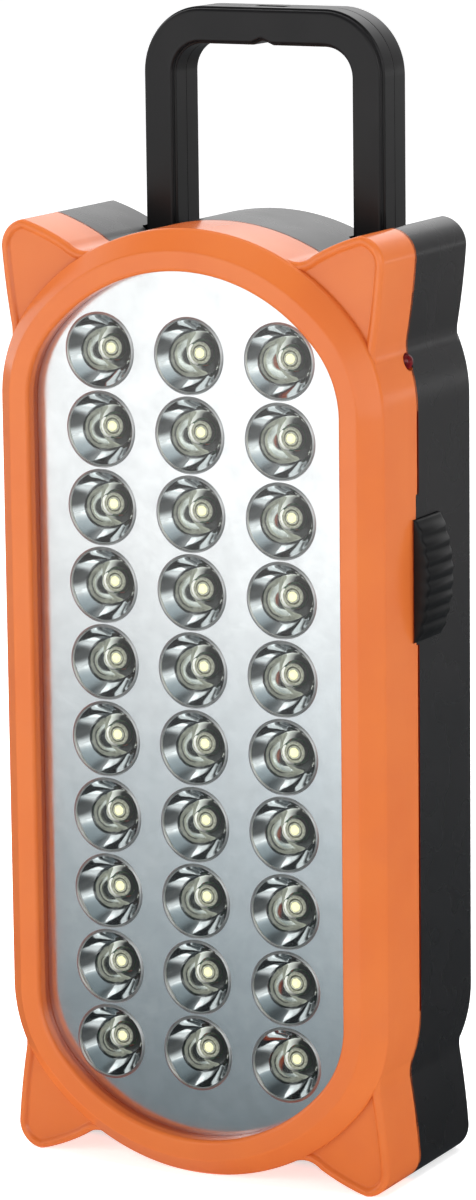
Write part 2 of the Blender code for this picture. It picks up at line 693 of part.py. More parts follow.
def make_leads():
    """Internal wires, each ending square on to what it is soldered to."""
    top = BATTERY_Z[1] + GAP
    board = CHARGER_Y[0] - GAP
    for name, x, finish in (("positive", 8, "red_lead"), ("negative", -8, "black_lead")):
        route = [(x, 9, top), (x, 9, top + 6), (x, 9.6, top + 13), (x, 11.5, top + 17.5),
                 (x, board, top + 18.5)]
        lead(f"battery_lead_{name}", route, finish)
    led_back = LED_BOARD_Y + BOARD_THICKNESS + GAP
    lead("led_lead", [(12, board, 50), (12, 8, 50.5), (12.3, 0, 53), (12, -6, 50.5),
                      (12, led_back, 50)], "red_lead")
    for name, side, finish in (("upper", 1, "black_lead"), ("lower", -1, "red_lead")):
        z = INLET_Z + side * PIN_OFFSET
        tail = INLET_BACK_X + 2.3 + GAP
        route = [(tail, INLET_Y, z), (-25, INLET_Y, z), (-18.5, 7.2, z), (-15, 10.4, z),
                 (-14.4, board, z)]
        lead(f"inlet_lead_{name}", route, finish)
    lead("switch_lead", [(31 - GAP, 0, 24), (25, 0.4, 24), (18.5, 3.6, 24), (15, 8.6, 24),
                         (14.4, board, 24)], "black_lead")


GROUND = ground_cutter()
INDICATOR_HOLE = indicator_hole()

make_front_housing()
make_rear_housing()
make_lens()
make_reflector()
make_leds()
make_led_board()
make_handle()
make_retainer()
make_housing_screws()
make_switch()
make_indicator()
make_inlet()
make_battery()
make_charger()
make_leads()
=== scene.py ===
"""Looks for the rechargeable hand lantern: fine shells, mirrored cups, lamps, handle and switch.

Lengths are in millimetres in the shape functions and become metres in the meshes. Heights marked
"from centre" count from the middle of the lamp body, as in the CAD source.
"""

import math

import bmesh
import bpy
import numpy as np
from mathutils import Matrix, Vector
from mathutils.geometry import delaunay_2d_cdt


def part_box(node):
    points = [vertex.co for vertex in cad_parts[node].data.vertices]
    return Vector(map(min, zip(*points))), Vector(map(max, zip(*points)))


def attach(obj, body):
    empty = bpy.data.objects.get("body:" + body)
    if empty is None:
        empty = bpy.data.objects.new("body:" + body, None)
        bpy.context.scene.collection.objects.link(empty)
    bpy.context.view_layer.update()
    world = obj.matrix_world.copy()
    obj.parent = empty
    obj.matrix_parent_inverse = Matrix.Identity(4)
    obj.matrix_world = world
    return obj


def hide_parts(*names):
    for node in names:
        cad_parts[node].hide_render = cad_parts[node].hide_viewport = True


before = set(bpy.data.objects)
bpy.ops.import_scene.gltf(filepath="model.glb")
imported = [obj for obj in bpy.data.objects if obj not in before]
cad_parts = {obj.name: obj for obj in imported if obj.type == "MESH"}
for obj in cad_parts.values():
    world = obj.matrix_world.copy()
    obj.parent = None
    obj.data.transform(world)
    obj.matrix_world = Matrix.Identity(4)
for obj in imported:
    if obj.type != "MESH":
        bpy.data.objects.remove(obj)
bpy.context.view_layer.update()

MM = 0.001


def box_mm(node):
    """Lowest and highest corner of a CAD node, in millimetres."""
    low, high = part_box(node)
    return low / MM, high / MM


# Body outline, seen from the front: the same arcs as the CAD solids.
FRONT_LOW, FRONT_HIGH = box_mm("front_housing")
REAR_LOW, REAR_HIGH = box_mm("rear_housing")
HALF_WIDTH = FRONT_HIGH.x
CENTRE_Z = 97.5
CORNER_X, CORNER_Z = 13.8, 61.6
CORNER_RADIUS = HALF_WIDTH - CORNER_X
END_Z = 50.0
END_RADIUS = CORNER_RADIUS + math.hypot(CORNER_X, CORNER_Z - END_Z)
TANGENT_ANGLE = math.atan2(CORNER_Z - END_Z, CORNER_X)

# Depths.
FRONT_Y = FRONT_LOW.y
FRONT_SEAM_Y = FRONT_HIGH.y
REAR_SEAM_Y = REAR_LOW.y
SEAM_Y = (FRONT_SEAM_Y + REAR_SEAM_Y) / 2
BACK_Y = REAR_HIGH.y
EDGE_Y = FRONT_Y + 3.9
REAR_EDGE_Y = BACK_Y - 6.3
WALL, BACK_WALL = 2.2, 1.9
SEAM_GROOVE, SEAM_GROOVE_DEPTH = 0.35, 0.5
FRONT_STEP_Y = (-18.5, -16.5)
BEZEL_LAND, BEZEL_WINDOW = 4.1, 8.3
REFLECTOR_SEAT = 6.3
LENS_LOW, LENS_HIGH = box_mm("window_lens")

# Ears.
EAR_SIDE = (42.3, 83.3)
EAR_SHOULDER = (43.15, 91.4)
EAR_CORNER = (41.9, 95.7)
EAR_TIP = (38.0, 97.7)
EAR_BROW = (31.2, 95.2)
EAR_FOOT_ANGLES = (math.radians(22.5), math.radians(60.0))
EAR_RIM, EAR_RECESS = 1.9, 0.8
SCREW_X, SCREW_Z = 36.3, 89.6
BORE_Y, BORE_RADIUS = (12, 21), 3.2
PILOT_Y, PILOT_RADIUS = (-8, 14), 1.7

# Switch: the tab in the seam, the slot behind it and the knob; then the charge indicator.
TAB_FRONT_Y, TAB_Z = -6.5, (14.4, 44.7)
SLOT_Y, SLOT_Z = (-3.3, 2.5), (21.5, 35.4)
SLOT_PLAY, SWITCH_TRAVEL = 0.3, 4.5
KNOB_Y, KNOB_Z = (-8.3, 3.6), (15.0, 39.9)
KNOB_RIBS, KNOB_STEPS = 8, 192
INDICATOR_LOW, INDICATOR_HIGH = box_mm("indicator_led")
INDICATOR_RADIUS = 1.7

# Handle.
HANDLE_Y = (box_mm("handle_front_half")[0].y + 1.4, box_mm("handle_rear_half")[1].y)
HANDLE_INNER_X, HANDLE_UNDER_Z = 20.2, 131.3
HANDLE_OUTER_RADIUS, HANDLE_INNER_RADIUS = 13.5, 6.1
CHANNEL_X, CHANNEL_Z = (19.8, 27.9), (60, 110)

# Cups and lamps.
CUP_RADIUS, CUP_HOLE = 7.25, 2.8
CUP_LIP, CUP_LIP_RISE, LIP_BANDS = 0.65, 0.3, 5
CUP_SIDES, LAMP_SIDES = 56, 40
REFLECTOR_Y = box_mm("reflector_panel")[0].y
CUP_DEPTH = 6.0
REFLECTOR_THICKNESS = 1.2


# Mesh helpers.


def finish_mesh(bm, name, smooth_angle=32):
    bmesh.ops.recalc_face_normals(bm, faces=bm.faces)
    mesh = bpy.data.meshes.new(name)
    bm.to_mesh(mesh)
    bm.free()
    mesh.shade_smooth()
    mesh.set_sharp_from_angle(angle=math.radians(smooth_angle))
    return mesh


def new_piece(name, mesh, material=None):
    obj = bpy.data.objects.new(name, mesh)
    bpy.context.scene.collection.objects.link(obj)
    if material is not None:
        mesh.materials.append(material)
    return obj


def arc(centre, radius, start, end, steps):
    return [
        (
            centre[0] + radius * math.cos(start + (end - start) * i / steps),
            centre[1] + radius * math.sin(start + (end - start) * i / steps),
        )
        for i in range(steps + 1)
    ]


def arc_through(first, middle, last, steps):
    """The circular arc from first to last that passes through middle."""
    (ax, az), (bx, bz), (cx, cz) = first, middle, last
    double_area = 2 * (ax * (bz - cz) + bx * (cz - az) + cx * (az - bz))
    a, b, c = ax * ax + az * az, bx * bx + bz * bz, cx * cx + cz * cz
    x = (a * (bz - cz) + b * (cz - az) + c * (az - bz)) / double_area
    z = (a * (cx - bx) + b * (ax - cx) + c * (bx - ax)) / double_area
    start = math.atan2(az - z, ax - x)
    turn = math.remainder(math.atan2(cz - z, cx - x) - start, math.tau)
    return arc((x, z), math.hypot(ax - x, az - z), start, start + turn, steps)


def rounded_path(points, steps=5, closed=False):
    """Corners (x, y, radius) joined by straight runs, each corner rounded to its radius."""
    path = []
    count = len(points)
    for i, (x, y, radius) in enumerate(points):
        here = Vector((x, y))
        if radius == 0 or (not closed and i in (0, count - 1)):
            path.append((x, y))
            continue
        back = (Vector(points[i - 1][:2]) - here).normalized()
        ahead = (Vector(points[(i + 1) % count][:2]) - here).normalized()
        half = back.angle(ahead) / 2
        reach = radius / math.tan(half)
        centre = here + (back + ahead).normalized() * radius / math.sin(half)
        start, end = here + back * reach, here + ahead * reach
        first = math.atan2(*(start - centre).yx)
        turn = math.remainder(math.atan2(*(end - centre).yx) - first, math.tau)
        path += arc(centre, radius, first, first + turn, steps)
    return path


def four_fold(quarter):
    """A closed outline from its upper right quarter, whose last point is on the Z axis."""
    upper = quarter + [(-x, z) for x, z in reversed(quarter[:-1])]
    return upper + [(x, -z) for x, z in reversed(upper)]


def body_outline(offset):
    """The lamp body without its ears, moved inwards by offset."""
    side = [(HALF_WIDTH - offset, z) for z in np.linspace(3, CORNER_Z, 9)[:-1]]
    corner = arc((CORNER_X, CORNER_Z), CORNER_RADIUS - offset, 0, TANGENT_ANGLE, 26)
    end = arc((0, END_Z), END_RADIUS - offset, TANGENT_ANGLE, math.pi / 2, 24)
    return four_fold(side + corner + end[1:])


def section(outline, y):
    """An outline's points at one depth, in metres, with z measured from the ground."""
    return [Vector((x, y, z + CENTRE_Z)) * MM for x, z in outline]


def loft_mesh(name, sections, ring=False):
    """Bridges sections of equal length. A ring joins the last one to the first, others get caps."""
    bm = bmesh.new()
    rows = [[bm.verts.new(point) for point in points] for points in sections]
    count = len(rows[0])
    pairs = list(zip(rows, rows[1:] + rows[:1])) if ring else list(zip(rows, rows[1:]))
    for row, following in pairs:
        for i in range(count):
            j = (i + 1) % count
            bm.faces.new((row[i], row[j], following[j], following[i]))
    if not ring:
        bm.faces.new(rows[0])
        bm.faces.new(rows[-1])
    return finish_mesh(bm, name)


def box_cutter(name, x_range, y_range, z_range, radius=0.0):
    """A block between two corners, z from centre, its edges rounded when radius is set."""
    spans = (x_range, y_range, (z_range[0] + CENTRE_Z, z_range[1] + CENTRE_Z))
    middle = Vector([(low + high) / 2 for low, high in spans]) * MM
    size = Vector([high - low for low, high in spans]) * MM
    bm = bmesh.new()
    bmesh.ops.create_cube(bm, size=1, matrix=Matrix.Translation(middle) @ Matrix.Diagonal((*size, 1)))
    if radius:
        bmesh.ops.bevel(bm, geom=bm.edges[:], offset=radius * MM, segments=4, affect="EDGES", profile=0.5)
    return finish_mesh(bm, name)


def rod_cutter(name, start, end, radius, sides=40):
    lift = Vector((0, 0, CENTRE_Z))
    first, last = (Vector(start) + lift) * MM, (Vector(end) + lift) * MM
    turn = Vector((0, 0, 1)).rotation_difference(last - first).to_matrix().to_4x4()
    bm = bmesh.new()
    bmesh.ops.create_cone(
        bm, cap_ends=True, segments=sides, radius1=radius * MM, radius2=radius * MM,
        depth=(last - first).length, matrix=Matrix.Translation((first + last) / 2) @ turn,
    )
    return finish_mesh(bm, name)


def carve(obj, operation, meshes):
    """Applies one Boolean per mesh to obj and drops the helpers."""
    for mesh in meshes:
        helper = new_piece("helper", mesh)
        modifier = obj.modifiers.new("carve", "BOOLEAN")
        modifier.object = helper
        modifier.operation = operation
        modifier.solver = "MANIFOLD"
        graph = bpy.context.evaluated_depsgraph_get()
        carved = bpy.data.meshes.new_from_object(obj.evaluated_get(graph))
        obj.modifiers.clear()
        obj.data = carved
        bpy.data.objects.remove(helper)
    obj.data.shade_smooth()
    obj.data.set_sharp_from_angle(angle=math.radians(32))


def even_normals(obj):
    """Keeps large flat faces flat-looking beside narrow rounded edges."""
    modifier = obj.modifiers.new("even normals", "WEIGHTED_NORMAL")
    modifier.keep_sharp = True
    modifier.weight = 80


# Material helpers.


def srgb(red, green, blue):
    """A linear colour from 0-255 display values."""
    return tuple(
        v / 12.92 if v <= 0.04045 else ((v + 0.055) / 1.055) ** 2.4
        for v in (red / 255, green / 255, blue / 255)
    )


class Nodes:
    """Short names for building one material's node tree."""

    def __init__(self, name):
        self.material = bpy.data.materials.new(name)
        self.material.use_nodes = True
        self.tree = self.material.node_tree
        self.tree.nodes.clear()
        self.output = self.add("ShaderNodeOutputMaterial")
        self.coordinates = self.add("ShaderNodeTexCoord").outputs["Object"]

    def add(self, kind, values=None, **settings):
        node = self.tree.nodes.new(kind)
        for key, value in settings.items():
            setattr(node, key, value)
        for key, value in (values or {}).items():
            node.inputs[key].default_value = value
        return node

    def link(self, source, target):
        self.tree.links.new(source, target)

    def shader(self, colour, roughness, **values):
        shader = self.add("ShaderNodeBsdfPrincipled")
        shader.inputs["Base Color"].default_value = (*colour, 1)
        shader.inputs["Roughness"].default_value = roughness
        for key, value in values.items():
            shader.inputs[key.replace("_", " ")].default_value = value
        self.link(shader.outputs["BSDF"], self.output.inputs["Surface"])
        return shader

    def noise(self, size, detail=2.0, roughness=0.5):
        """Noise whose lumps are about size millimetres across."""
        values = {"Scale": 1 / (size * MM), "Detail": detail, "Roughness": roughness}
        node = self.add("ShaderNodeTexNoise", values)
        self.link(self.coordinates, node.inputs["Vector"])
        return node.outputs["Fac"]

    def ramp(self, source, low, high, low_at=0.35, high_at=0.65):
        """Maps a 0-1 signal to a range between two numbers."""
        node = self.add(
            "ShaderNodeMapRange",
            {"From Min": low_at, "From Max": high_at, "To Min": low, "To Max": high},
        )
        self.link(source, node.inputs["Value"])
        return node.outputs["Result"]

    def tint(self, source, first, second):
        node = self.add("ShaderNodeMix", data_type="RGBA")
        node.inputs["A"].default_value = (*first, 1)
        node.inputs["B"].default_value = (*second, 1)
        self.link(source, node.inputs["Factor"])
        return node.outputs["Result"]

    def bump(self, source, distance):
        """Bump from a 0-1 height whose full range is distance millimetres."""
        node = self.add("ShaderNodeBump", {"Distance": distance * MM})
        self.link(source, node.inputs["Height"])
        return node.outputs["Normal"]


def plastic(name, colour, dark, roughness, texture=0.25, texture_depth=0.004, **values):
    """Moulded plastic: slight colour drift, a fine moulded skin and uneven polish."""
    nodes = Nodes(name)
    shader = nodes.shader(colour, roughness[0], **values)
    drift = nodes.ramp(nodes.noise(18, 3), 0, 1)
    nodes.link(nodes.tint(drift, colour, dark), shader.inputs["Base Color"])
    polish = nodes.ramp(nodes.noise(9, 1), roughness[0], roughness[1])
    nodes.link(polish, shader.inputs["Roughness"])
    nodes.link(nodes.bump(nodes.noise(texture, 1), texture_depth), shader.inputs["Normal"])
    return nodes.material


def metal(name, colour, roughness):
    """Plated or bare metal with a fine grain and uneven polish."""
    nodes = Nodes(name)
    shader = nodes.shader(colour, roughness[0], Metallic=1.0)
    polish = nodes.ramp(nodes.noise(2.4, 4), roughness[0], roughness[1])
    nodes.link(polish, shader.inputs["Roughness"])
    nodes.link(nodes.bump(nodes.noise(0.4, 3), 0.002), shader.inputs["Normal"])
    return nodes.material


def mirror_film(name, colour, roughness, lump, depth):
    """Vacuum-metallised plastic: a mirror with faint orange peel and dull patches."""
    nodes = Nodes(name)
    shader = nodes.shader(colour, roughness[0], Metallic=1.0)
    haze = nodes.ramp(nodes.noise(9, 5, 0.6), roughness[0], roughness[1], 0.3, 0.7)
    nodes.link(haze, shader.inputs["Roughness"])
    shade = tuple(v * 0.93 for v in colour)
    nodes.link(nodes.tint(nodes.ramp(nodes.noise(5, 4), 0, 1), colour, shade), shader.inputs["Base Color"])
    nodes.link(nodes.bump(nodes.noise(lump, 3), depth), shader.inputs["Normal"])
    return nodes.material


def clear_plastic(name, tint, gloss_roughness, ior):
    """Clear moulding: see-through, with a sheen that grows towards grazing angles."""
    nodes = Nodes(name)
    gloss = nodes.add("ShaderNodeBsdfPrincipled")
    gloss.inputs["Base Color"].default_value = (1, 1, 1, 1)
    gloss.inputs["Metallic"].default_value = 1.0
    polish = nodes.ramp(nodes.noise(6, 3), gloss_roughness, gloss_roughness + 0.03)
    nodes.link(polish, gloss.inputs["Roughness"])
    clear = nodes.add("ShaderNodeBsdfTransparent")
    clear.inputs["Color"].default_value = (*tint, 1)
    fresnel = nodes.add("ShaderNodeFresnel", {"IOR": ior})
    mix = nodes.add("ShaderNodeMixShader")
    nodes.link(fresnel.outputs["Fac"], mix.inputs[0])
    nodes.link(clear.outputs["BSDF"], mix.inputs[1])
    nodes.link(gloss.outputs["BSDF"], mix.inputs[2])
    nodes.link(mix.outputs["Shader"], nodes.output.inputs["Surface"])
    return nodes.material


# The orange's faint red emission is partly the plastic's translucency and partly painted glow. The painted
# part lightens the shaded wall round the window, standing in for light bounced between orange walls.
ORANGE = plastic("orange_plastic", srgb(180, 101, 48), srgb(177, 96, 44), (0.17, 0.22), 1.6, 0.0008,
                 Emission_Color=(1.0, 0.05, 0.01, 1.0), Emission_Strength=0.12)
BLACK = plastic("black_plastic", srgb(27, 26, 27), srgb(24, 24, 25), (0.26, 0.29), 2.5, 0.0003)
HANDLE_BLACK = plastic("handle_plastic", srgb(21, 20, 21), srgb(18, 18, 19), (0.28, 0.33), 2.5, 0.0003,
                       Specular_IOR_Level=0.32)
KNOB_BLACK = plastic("knob_plastic", srgb(18, 18, 19), srgb(15, 15, 16), (0.36, 0.42), 1.0, 0.001,
                     Specular_IOR_Level=0.3)
MIRROR = mirror_film("mirror_plating", (0.96, 0.97, 0.975), (0.12, 0.24), 3.0, 0.014)
CUP_MIRROR = mirror_film("cup_plating", (0.90, 0.93, 0.93), (0.03, 0.07), 1.5, 0.004)
LIP_MIRROR = mirror_film("lip_plating", (0.97, 0.97, 0.97), (0.38, 0.46), 1.5, 0.004)
LENS = clear_plastic("clear_window", (0.985, 0.99, 0.99), 0.02, 1.38)
EPOXY = clear_plastic("led_epoxy", (0.97, 0.98, 0.94), 0.03, 1.45)
STEEL = metal("plated_steel", (0.66, 0.66, 0.64), (0.25, 0.38))
BRASS = metal("pin_brass", (0.86, 0.70, 0.40), (0.18, 0.30))


# Orange front shell.


def ear_edge():
    """The upper right ear's visible edge as (x, z) points, from the side valley to the top one."""
    low, high = EAR_FOOT_ANGLES
    root = CORNER_RADIUS - 0.6
    foot = (CORNER_X + root * math.cos(low), CORNER_Z + root * math.sin(low))
    crown_root = END_RADIUS - 0.6
    crown = (crown_root * math.cos(high), END_Z + crown_root * math.sin(high))
    edge = arc_through(foot, EAR_SIDE, EAR_SHOULDER, 30)
    edge += arc_through(EAR_SHOULDER, EAR_CORNER, EAR_TIP, 18)[1:]
    edge += arc_through(EAR_TIP, EAR_BROW, crown, 30)[1:]
    edge = flare(edge, corner_point, 1.8, low)
    return flare(edge[::-1], end_point, 3.6, high)[::-1]


def corner_point(angle, offset=0.0):
    radius = CORNER_RADIUS - offset
    return (CORNER_X + radius * math.cos(angle), CORNER_Z + radius * math.sin(angle))


def end_point(angle, offset=0.0):
    radius = END_RADIUS - offset
    return (radius * math.cos(angle), END_Z + radius * math.sin(angle))


def flare(edge, body_point, reach, angle):
    """Replaces the edge's start, which is sunk in the body, by a small fillet onto the body."""
    sign = -1 if body_point is corner_point else 1
    radius = CORNER_RADIUS if body_point is corner_point else END_RADIUS
    valley = Vector(body_point(angle - sign * 0.02))
    kept = next(i for i, p in enumerate(edge) if (Vector(p) - valley).length > reach and i > 3)
    along = sign * reach / radius
    landing = Vector(body_point(angle + along, 0.04))
    sunk = body_point(angle + along * 1.5, 0.5)
    arm = Vector(edge[kept])
    curve = []
    steps = 10
    for i in range(steps):
        t = i / steps
        curve.append(tuple(landing * (1 - t) ** 2 + valley * 2 * t * (1 - t) + arm * t * t))
    return [sunk, *curve, *edge[kept:]]


def inset_edge(edge, inset):
    """An open edge moved towards the inside, which lies on its left."""
    points = [Vector(p) for p in edge]
    moved = []
    for i, point in enumerate(points):
        before, after = points[max(i - 1, 0)], points[min(i + 1, len(points) - 1)]
        along = (after - before).normalized()
        moved.append(tuple(point + Vector((-along.y, along.x)) * inset))
    return moved


def ear_sections(profile):
    """Closed sections of the upper right ear: its edge, then a way back inside the body's wall."""
    edge = ear_edge()
    low, high = EAR_FOOT_ANGLES
    for k, (inset, y) in enumerate(profile):
        sunk = 1.55 + 0.01 * k
        back = [end_point(a, sunk) for a in np.linspace(high + 0.02, TANGENT_ANGLE, 6)]
        back += [corner_point(a, sunk) for a in np.linspace(TANGENT_ANGLE, low - 0.02, 8)[1:]]
        yield inset_edge(edge, inset) + back, y


def ear_mesh(name, profile, flip_x, flip_z):
    sections = []
    for outline, y in ear_sections(profile):
        placed = [(-x if flip_x else x, -z if flip_z else z) for x, z in outline]
        sections.append(section(placed, y))
    return loft_mesh(name, sections)


def four_ears(name, profile):
    return [ear_mesh(f"{name}_{i}", profile, i in (1, 2), i in (2, 3)) for i in range(4)]


def quarter_turn(y, radius, direction):
    """Profile points that round an edge from the side wall to the face it meets at y."""
    steps = 6
    points = []
    for i in range(steps + 1):
        angle = math.pi / 2 * i / steps
        depth = direction * radius * (1 - math.sin(angle))
        points.append((radius * (1 - math.cos(angle)), y - depth))
    return points


def ground_block():
    """Cuts away what would reach below the ground."""
    return box_cutter("ground", (-70, 70), (-60, 60), (-CENTRE_Z - 12, -CENTRE_Z))


def indicator_hole():
    y = (INDICATOR_LOW.y + INDICATOR_HIGH.y) / 2
    z = (INDICATOR_LOW.z + INDICATOR_HIGH.z) / 2 - CENTRE_Z
    return rod_cutter("hole", (36, y, z), (50, y, z), INDICATOR_RADIUS + 0.1)


def switch_tab(name, play, x_range, radius):
    """The tab that fills the notch in the front shell's seam, or with play that notch."""
    z_range = (TAB_Z[0] - play, TAB_Z[1] + play)
    return box_cutter(name, x_range, (TAB_FRONT_Y - play, SEAM_Y + 1), z_range, radius)


def make_front_shell():
    seat_y = REFLECTOR_Y - 0.05
    profile = rounded_path(
        [
            (0, FRONT_SEAM_Y, 0.25),
            (0, EDGE_Y, 1.3),
            (BEZEL_LAND, FRONT_Y, 0.9),
            (BEZEL_WINDOW, FRONT_Y, 0.9),
            (BEZEL_WINDOW, seat_y, 0.15),
            (REFLECTOR_SEAT, seat_y, 0),
            (REFLECTOR_SEAT, FRONT_STEP_Y[0], 0.4),
            (WALL, FRONT_STEP_Y[1], 0.8),
            (WALL, FRONT_SEAM_Y, 0.25),
        ],
        closed=True,
    )
    sections = [section(body_outline(offset), y) for offset, y in profile]
    shell = new_piece("front_shell", loft_mesh("front_shell", sections, ring=True), ORANGE)
    rim_y = EDGE_Y + 0.25
    floor_y = rim_y + EAR_RECESS
    ear_profile = [(0.2, FRONT_SEAM_Y), (0, FRONT_SEAM_Y - 0.25), (0, -12)]
    ear_profile += quarter_turn(rim_y, 1.0, -1)
    ear_profile += [(1.25, rim_y + 0.04), (1.5, rim_y + 0.2), (1.75, rim_y + 0.5), (EAR_RIM, floor_y - 0.1),
                    (EAR_RIM + 0.25, floor_y)]
    carve(shell, "UNION", four_ears("front_ear", ear_profile))
    notch = switch_tab("notch", 0.12, (37, 50), 0.0)
    carve(shell, "DIFFERENCE", [ground_block(), indicator_hole(), notch])
    even_normals(shell)
    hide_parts("front_housing")
    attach(shell, "housing")


def rear_shell_cutters():
    """The handle's channels, the switch's slot, the inlet's opening and the ears' screw holes."""
    cutters = [ground_block(), indicator_hole()]
    channel_y = (HANDLE_Y[0] - 0.5, HANDLE_Y[1] + 0.3)
    for side in (-1, 1):
        x_range = sorted(side * x for x in CHANNEL_X)
        cutters.append(box_cutter("channel", x_range, channel_y, CHANNEL_Z, 0.5))
    cutters.append(box_cutter("slot", (38, 50), SLOT_Y, SLOT_Z, 0.3))
    low, high = box_mm("ac_inlet")
    inlet_y = (low.y - 0.3, high.y + 0.3)
    inlet_z = (low.z - CENTRE_Z - 0.3, high.z - CENTRE_Z + 0.3)
    cutters.append(box_cutter("inlet", (-50, -38), inlet_y, inlet_z, 0.3))
    for x in (-SCREW_X, SCREW_X):
        for z in (-SCREW_Z, SCREW_Z):
            cutters.append(rod_cutter("bore", (x, BORE_Y[0], z), (x, BORE_Y[1], z), BORE_RADIUS))
            cutters.append(rod_cutter("pilot", (x, PILOT_Y[0], z), (x, PILOT_Y[1], z), PILOT_RADIUS, 24))
    return cutters


def make_rear_shell():
    """The rear shell, with a narrow groove round its front edge that shows as the seam."""
    inner_back = BACK_Y - BACK_WALL
    groove_y = REAR_SEAM_Y + SEAM_GROOVE
    profile = rounded_path(
        [
            (7.7, inner_back, 0),
            (WALL, inner_back - 5.5, 1.0),
            (WALL, REAR_SEAM_Y, 0.25),
            (SEAM_GROOVE_DEPTH, REAR_SEAM_Y, 0),
            (SEAM_GROOVE_DEPTH, groove_y, 0),
            (0, groove_y, 0.1),
            (0, REAR_EDGE_Y, 1.6),
            (BACK_Y - REAR_EDGE_Y, BACK_Y, 1.6),
            (BACK_Y - REAR_EDGE_Y + 3, BACK_Y, 0),
        ]
    )
    sections = [section(body_outline(offset), y) for offset, y in profile]
    shell = new_piece("rear_shell", loft_mesh("rear_shell", sections), BLACK)
    ear_profile = [(SEAM_GROOVE_DEPTH, REAR_SEAM_Y), (SEAM_GROOVE_DEPTH, groove_y), (0.05, groove_y),
                   (0, groove_y + 0.1), (0, 8)]
    ear_profile += quarter_turn(REAR_EDGE_Y, 1.5, 1)
    ear_profile += [(EAR_RIM, REAR_EDGE_Y)]
    tab = switch_tab("tab", 0.0, (HALF_WIDTH - WALL + 0.2, HALF_WIDTH - 0.03), 0.2)
    carve(shell, "UNION", [*four_ears("rear_ear", ear_profile), tab])
    carve(shell, "DIFFERENCE", rear_shell_cutters())
    even_normals(shell)
    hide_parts("rear_housing")
    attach(shell, "housing")


# Window, reflector and lamps.


def make_window():
    """The pane, whose edge is sunk a little into the bezel's wall."""
    low, high = LENS_LOW.y, LENS_HIGH.y
    sections = [section(body_outline(BEZEL_WINDOW - 0.03), y) for y in (low, high)]
    window = new_piece("window_pane", loft_mesh("window_pane", sections), LENS)
    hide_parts("window_lens")
    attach(window, "housing")


def lamp_names():
    return [f"led_{row:02d}_{column}" for row in range(1, 11) for column in (1, 2, 3)]


def lamp_centre(name):
    """A lamp's x and its z from centre."""
    low, high = box_mm(name)
    return (low.x + high.x) / 2, (low.z + high.z) / 2 - CENTRE_Z


def cup_profile():
    """(radius, depth behind the face) of one cup, from its raised lip to the hole at its back."""
    lip = [(CUP_RADIUS + CUP_LIP, 0.0), (CUP_RADIUS + 0.5, -0.12), (CUP_RADIUS + 0.38, -0.23),
           (CUP_RADIUS + 0.22, -CUP_LIP_RISE), (CUP_RADIUS + 0.06, -0.2), (CUP_RADIUS, 0.05)]
    bowl = []
    steps = 14
    for i in range(1, steps + 1):
        radius = CUP_RADIUS + (CUP_HOLE - CUP_RADIUS) * i / steps
        share = (CUP_RADIUS**2 - radius**2) / (CUP_RADIUS**2 - CUP_HOLE**2)
        bowl.append((radius, CUP_DEPTH * share))
    return lip + bowl


def fill_face(bm, rim, holes):
    """Triangles between a convex rim of vertices and the round holes inside it, all at one depth."""
    loops = [rim, *holes]
    corners = [vertex for loop in loops for vertex in loop]
    points = [Vector((v.co.x, v.co.z)) for v in corners]
    edges, start = [], 0
    for loop in loops:
        count = len(loop)
        edges += [(start + i, start + (i + 1) % count) for i in range(count)]
        start += count
    places, _, faces, owners, _, _ = delaunay_2d_cdt(points, edges, [], 0, 1e-7)
    centres = [sum((Vector((v.co.x, v.co.z)) for v in hole), Vector((0, 0))) / len(hole) for hole in holes]
    hole_radius = (CUP_RADIUS + CUP_LIP) * MM
    for face in faces:
        middle = sum((places[i] for i in face), Vector((0, 0))) / 3
        if all((middle - centre).length > hole_radius * 0.995 for centre in centres):
            bm.faces.new([corners[owners[i][0]] for i in face])


def circle(x, z, radius, sides):
    return [
        (x + radius * math.cos(math.tau * i / sides), z + radius * math.sin(math.tau * i / sides))
        for i in range(sides)
    ]


def sharpen_borders(mesh):
    """Marks loose edges and the edges between two materials as sharp."""
    materials_at = {}
    for polygon in mesh.polygons:
        for key in polygon.edge_keys:
            materials_at.setdefault(key, set()).add(polygon.material_index)
    for edge in mesh.edges:
        if len(materials_at[edge.key]) > 1 or edge.is_loose:
            edge.use_edge_sharp = True


def make_reflector():
    """One sheet: a flat face with thirty round openings, each continued by its cup, then thickened."""
    face_y = REFLECTOR_Y
    outline = body_outline(REFLECTOR_SEAT + 0.3)
    bm = bmesh.new()
    rim = [bm.verts.new(p) for p in section(outline, face_y)]
    skirt = [bm.verts.new(p) for p in section(outline, face_y + REFLECTOR_THICKNESS)]
    for i in range(len(rim)):
        j = (i + 1) % len(rim)
        bm.faces.new((rim[i], rim[j], skirt[j], skirt[i])).material_index = 1
    cups = []
    for name in lamp_names():
        x, z = lamp_centre(name)
        rings = []
        for radius, depth in cup_profile():
            points = section(circle(x, z, radius, CUP_SIDES), face_y + depth)
            rings.append([bm.verts.new(p) for p in points])
        cups.append(rings)
    fill_face(bm, rim, [rings[0] for rings in cups])
    for rings in cups:
        for k, (ring, following) in enumerate(zip(rings, rings[1:])):
            for i in range(CUP_SIDES):
                j = (i + 1) % CUP_SIDES
                face = bm.faces.new((ring[i], ring[j], following[j], following[i]))
                face.material_index = 2 if k < LIP_BANDS else 1
    bmesh.ops.recalc_face_normals(bm, faces=bm.faces)
    if next(face for face in bm.faces if face.material_index == 0).normal.y > 0:
        bmesh.ops.reverse_faces(bm, faces=bm.faces[:])
    mesh = bpy.data.meshes.new("reflector_sheet")
    bm.to_mesh(mesh)
    bm.free()
    mesh.shade_smooth()
    mesh.set_sharp_from_angle(angle=math.radians(30))
    sharpen_borders(mesh)
    sheet = new_piece("reflector_sheet", mesh, MIRROR)
    mesh.materials.append(CUP_MIRROR)
    mesh.materials.append(LIP_MIRROR)
    solid = sheet.modifiers.new("thickness", "SOLIDIFY")
    solid.thickness = 0.6 * MM
    solid.offset = -1
    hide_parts("reflector_panel")
    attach(sheet, "housing")


